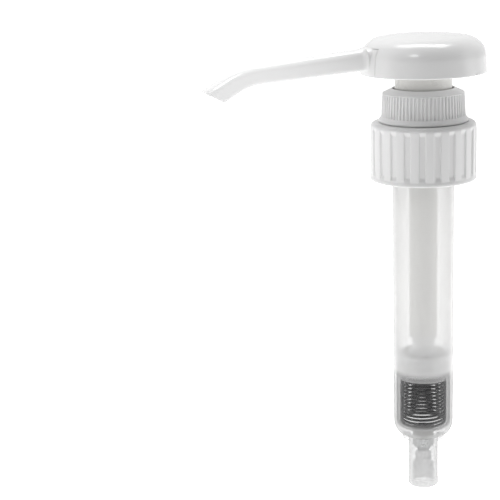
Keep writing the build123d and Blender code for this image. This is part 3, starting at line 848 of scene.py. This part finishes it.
def bore_skin():
    """Cutter for the spout's bore, flared by a small radius at the mouth."""
    def circle(distance, radius):
        centre, direction = route(distance)
        up = across.cross(direction)
        return [centre + across * (radius * cos(a)) + up * (radius * sin(a)) for a in even(40)]

    distances = [0.5, 20.0, 40.0, level_end]
    distances += [level_end + (bend_end - level_end) * k / 16 for k in range(1, 17)]
    rings = [circle(d, spout_bore) for d in distances]
    direction = route(bend_end + 1)[1]
    for grow, short in ((0.0, 0.4), (0.03, 0.25), (0.12, 0.1), (0.28, 0.0), (0.6, -0.6)):
        rings.append(to_mouth(circle(bend_end + past_mouth, spout_bore + grow), direction, short))
    return new_piece("bore", *lofted(rings))


def panel():
    """Curved panel that fills the slot in the dome, with rounded upright edges."""
    half = slot_half_angle - asin(panel_side_gap / dome_radius)
    edge = panel_round / dome_radius
    outer = [p for p in dome_curve(panel_inset) if p.y < slot_top_z]
    inner = [p for p in dome_curve(dome_wall) if p.y < slot_top_z]
    foot = [Vector((dome_radius - panel_inset - rim_round, dome_rim_z)),
            Vector((dome_radius - panel_inset - 0.1, dome_rim_z + 0.1))]
    top = [Vector((outer[-1].x - 0.4, slot_top_z)), Vector((inner[-1].x, slot_top_z))]
    outline = foot + outer[1:] + top + inner[::-1]
    angles = [pi - half, pi - half + edge * 0.3, pi - half + edge]
    angles += [pi - half + edge + 2 * (half - edge) * k / 40 for k in range(1, 40)]
    angles += [pi + half - edge, pi + half - edge * 0.3, pi + half]

    def soft_ends(angle, r, z):
        from_end = min(angle - (pi - half), (pi + half) - angle) / edge
        if from_end < 1 and r > wall_top_radius - 1.0:
            r -= panel_round * (1 - sqrt(1 - (1 - from_end) ** 2))
        return r, z

    return new_piece("panel", *spun(outline, angles, soft_ends, closed=False)), half - edge


def make_spout():
    """Disc and hub under the dome, with the panel, the web between them, the spout and its bore."""
    stem_fit, chamber, stop, hub, disc = 5.85, 4.3, 1.2, 7.9, 23.2
    disc_z, disc_top_z = dome_rim_z + 0.7, dome_rim_z + 2.3
    chamber_z, stop_z = dome_rim_z + 5.0, dome_rim_z + 5.2
    chamber_top_z, hub_top_z = dome_rim_z + 11.2, dome_rim_z + 12.5
    body = new_piece("spout_hub", *spun(rounded(
        (0.0, disc_z, 0), (disc, disc_z, 0.2), (disc, disc_top_z, 0.2),
        (hub, disc_top_z, 0.8), (hub, hub_top_z, 0.5), (0.0, hub_top_z, 0)), even(128)))
    hollow = new_piece("hollow", *spun(rounded(
        (0.0, disc_z - 1.0, 0), (stem_fit, disc_z - 1.0, 0), (stem_fit, chamber_z, 0.1),
        (chamber, chamber_z, 0.1), (chamber, chamber_top_z, 0.3), (stop, chamber_top_z, 0.3),
        (stop, stop_z, 0.2), (0.0, stop_z, 0)), even(128)))
    front, web_half_angle = panel()
    combine(body, front, "UNION")
    combine(body, block("web", web_half_angle, 22.0, 24.4, disc_z, disc_top_z), "UNION")
    combine(body, spout_skin(), "UNION")
    combine(body, bore_skin(), "DIFFERENCE")
    combine(body, hollow, "DIFFERENCE")
    hand_over(body, "plunger", "spout_body", "gloss_white")


make_spout()

# ---- housing: cylinder, valve chamber, dip tube socket and fins -----------------------------

flange_radius, socket_end_z, neck_top_z = span("housing")
flange_low_z = span("gasket")[2]
bore, tube_top_radius, tube_low_radius, neck_radius = 11.35, 12.68, 12.53, 13.8
shoulder_z, floor_z, shoulder_end_z = socket_end_z + 29.5, socket_end_z + 27.3, socket_end_z + 23.6
shoulder_middle = 9.0                # radius about which the shoulder curves in
seat_z, tube_stop_z = socket_end_z + 17.75, socket_end_z + 9.3
socket_radius, chamber_radius, suction_radius, seat_radius = 6.25, 4.4, 3.4, 2.2
socket_bead = 0.12                   # how far the socket's end stands proud
fin_angles, fin_half, fin_reach = (-110.0, -20.0, 70.0, 160.0), 0.6, 8.9
vent_z, vent_radius = -6.5, 0.9


def housing_outline():
    """Closed outline of the cylinder's wall: down its outside to the socket, and up its inside."""
    shoulder_curve = []
    for k in range(15):
        a = pi / 2 * k / 14
        shoulder_curve.append(Vector((shoulder_middle + (tube_low_radius - shoulder_middle) * cos(a),
                                      shoulder_z - (shoulder_z - shoulder_end_z) * sin(a))))
    upper = rounded(
        (bore, neck_top_z, 0.2),
        (neck_radius - 0.3, neck_top_z, 0.2),
        (neck_radius + 0.3, neck_top_z - 1.0, 0.15),
        (neck_radius, neck_top_z - 1.6, 0.1),
        (neck_radius, flange_low_z + 2.0, 0.3),
        (flange_radius, flange_low_z + 2.0, 0.2),
        (flange_radius, flange_low_z, 0.2),
        (tube_top_radius, flange_low_z, 0.3),
        (tube_low_radius, shoulder_z, 0),
        (bore, shoulder_z, 0),
    )[:-2]
    lower = rounded(
        (socket_radius - 1, shoulder_end_z, 0),
        (socket_radius, shoulder_end_z, 0),
        (socket_radius, socket_end_z + 2.9, 0.15),
        (socket_radius + socket_bead, socket_end_z + 2.6, 0.15),
        (socket_radius + socket_bead, socket_end_z, 0.35),
        (chamber_radius + 0.7, socket_end_z, 0.2),
        (chamber_radius, socket_end_z + 0.9, 0.2),
        (chamber_radius, tube_stop_z, 0.2),
        (suction_radius, tube_stop_z, 0.3),
        (suction_radius, seat_z - 3.6, 0.3),
        (seat_radius, seat_z - 3.6, 0.1),
        (seat_radius, seat_z - 2.4, 0.1),
        (chamber_radius, seat_z, 0.1),
        (chamber_radius, shoulder_end_z, 0.6),
        (8.0, floor_z, 0.4),
        (bore, floor_z, 1.3),
        (bore, neck_top_z - 3.0, 0),
    )[1:]
    return dense(upper + shoulder_curve + lower, 4.0)


def fin(angle):
    """Small upright fin between the shoulder and the socket."""
    shape = ((socket_radius - 0.5, shoulder_end_z + 0.7), (fin_reach, shoulder_end_z + 0.7),
             (fin_reach, shoulder_end_z - 3.1), (socket_radius - 0.5, shoulder_end_z - 4.7))
    piece = new_piece("fin", *lofted([[Vector((r, y, z)) for r, z in shape] for y in (-fin_half, fin_half)]))
    piece.data.transform(Matrix.Rotation(radians(angle), 4, "Z"))
    return piece


def vent():
    """Cutter for the air hole through the wall."""
    return new_piece("vent", *lofted([
        [Vector((vent_radius * cos(a), y, vent_z + vent_radius * sin(a))) for a in even(24)]
        for y in (10.0, 14.0)]))


def make_housing():
    body = new_piece("pump_cylinder", *spun(housing_outline(), even(160)))
    for angle in fin_angles:
        combine(body, fin(angle), "UNION")
    combine(body, vent(), "DIFFERENCE")
    hand_over(body, "pump_body", "housing", "frosted_pp")


make_housing()

# ---- spring: closed end coils on both seats, evenly pitched open coils between ---------------


def make_spring():
    """Coil of round wire between the housing's floor and the piston, with tapered wire ends."""
    low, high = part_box("spring")
    wire = 0.525                     # radius
    low_z, high_z = low.z / mm + wire, high.z / mm - wire
    mean = high.y / mm - wire
    turns, around_wire, per_turn = 17, 14, 64
    closed_turns = 1.0
    closed_pitch = 2 * wire + 0.03
    end_thickness, end_steps = 0.55, 3
    free = turns - 2 * closed_turns
    open_pitch = (high_z - low_z - 2 * closed_turns * closed_pitch) / free
    rings, weights = [], []
    for step in range(turns * per_turn + 1):
        turn = step / per_turn
        middle = max(0.0, min(free, turn - closed_turns))
        height = low_z + closed_pitch * (turn - middle) + open_pitch * middle
        angle = 2 * pi * turn
        out = Vector((cos(angle), sin(angle), 0))
        from_end = min(turn, turns - turn) * per_turn
        thick = wire * mix(end_thickness, 1.0, ramp(from_end / end_steps))
        rings.append([out * (mean + thick * cos(a)) + Vector((0, 0, height + thick * sin(a)))
                      for a in even(around_wire)])
        weights.append(middle / free)
    spring = new_piece("return_spring", *lofted(rings))
    smooth(spring)
    # the spring's near-black material is painted shade
    spring.data.materials.append(materials["spring_steel"])
    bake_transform(spring)
    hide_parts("spring")


make_spring()
